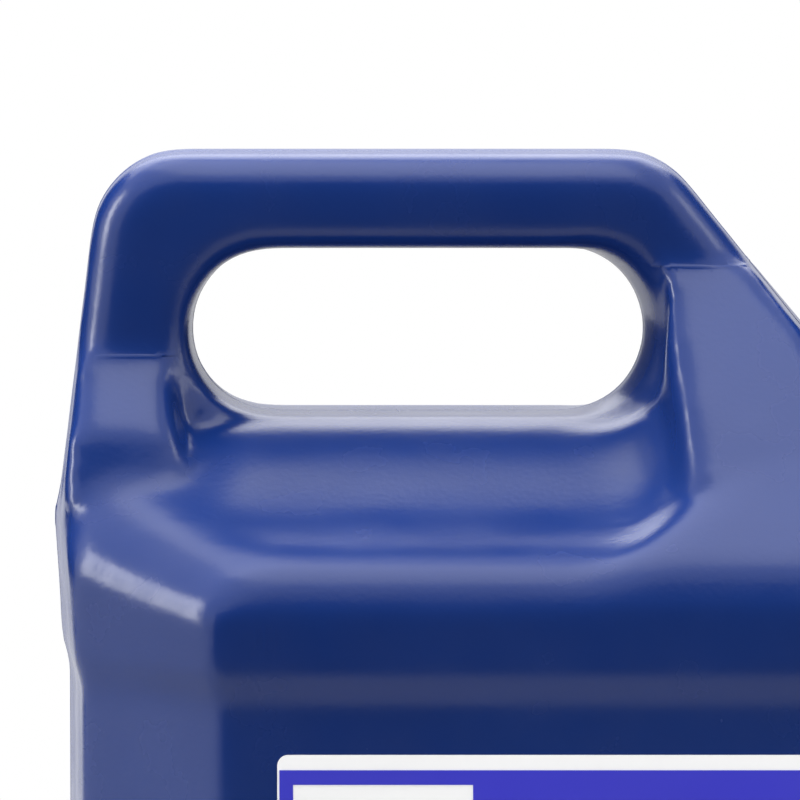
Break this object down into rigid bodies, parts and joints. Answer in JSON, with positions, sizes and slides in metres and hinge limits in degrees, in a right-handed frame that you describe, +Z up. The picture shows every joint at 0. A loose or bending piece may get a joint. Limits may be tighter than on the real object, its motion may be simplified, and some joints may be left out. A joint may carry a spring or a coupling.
{
  "type": "oil jug",
  "caption": "Blow-moulded plastic jug with an integral through-handle, an offset neck with a ribbed screw cap, and a plain front label.",
  "frame": {"origin": "centre of the base's footprint, on the floor", "axes": "+Z up, -Y towards the labelled front, +X from the handle's post towards the neck"},
  "size_m": [0.1904, 0.13, 0.29],
  "materials": {
    "jug_plastic": "navy blow-moulded polyethylene, satin gloss",
    "cap_plastic": "navy moulded plastic",
    "liner_foam": "white foamed sealing disc",
    "label_film": "white plastic film",
    "label_blue": "violet-blue print",
    "emblem_ink": "blue print"
  },
  "bodies": {
    "jug": {"jug_body": "jug_plastic", "tamper_ring": "cap_plastic", "front_label": "label_film", "label_field": "label_blue", "label_emblem": "emblem_ink"},
    "liner": {"cap_liner": "liner_foam"},
    "cap": {"cap": "cap_plastic"}
  },
  "joints": [
    {"name": "cap_lift", "type": "slide", "parent": "jug", "child": "liner", "axis": [0, 0, 1], "range_m": [0, 0.018]},
    {"name": "cap_turn", "type": "hinge", "parent": "liner", "child": "cap", "pos_m": [0.07, 0, 0.27], "axis": [0, 0, 1], "range_deg": [0, 810]}
  ],
  "couplings": [
    {"joint": "cap_lift", "follows": "cap_turn", "m_per_rad": 0.001273}
  ]
}
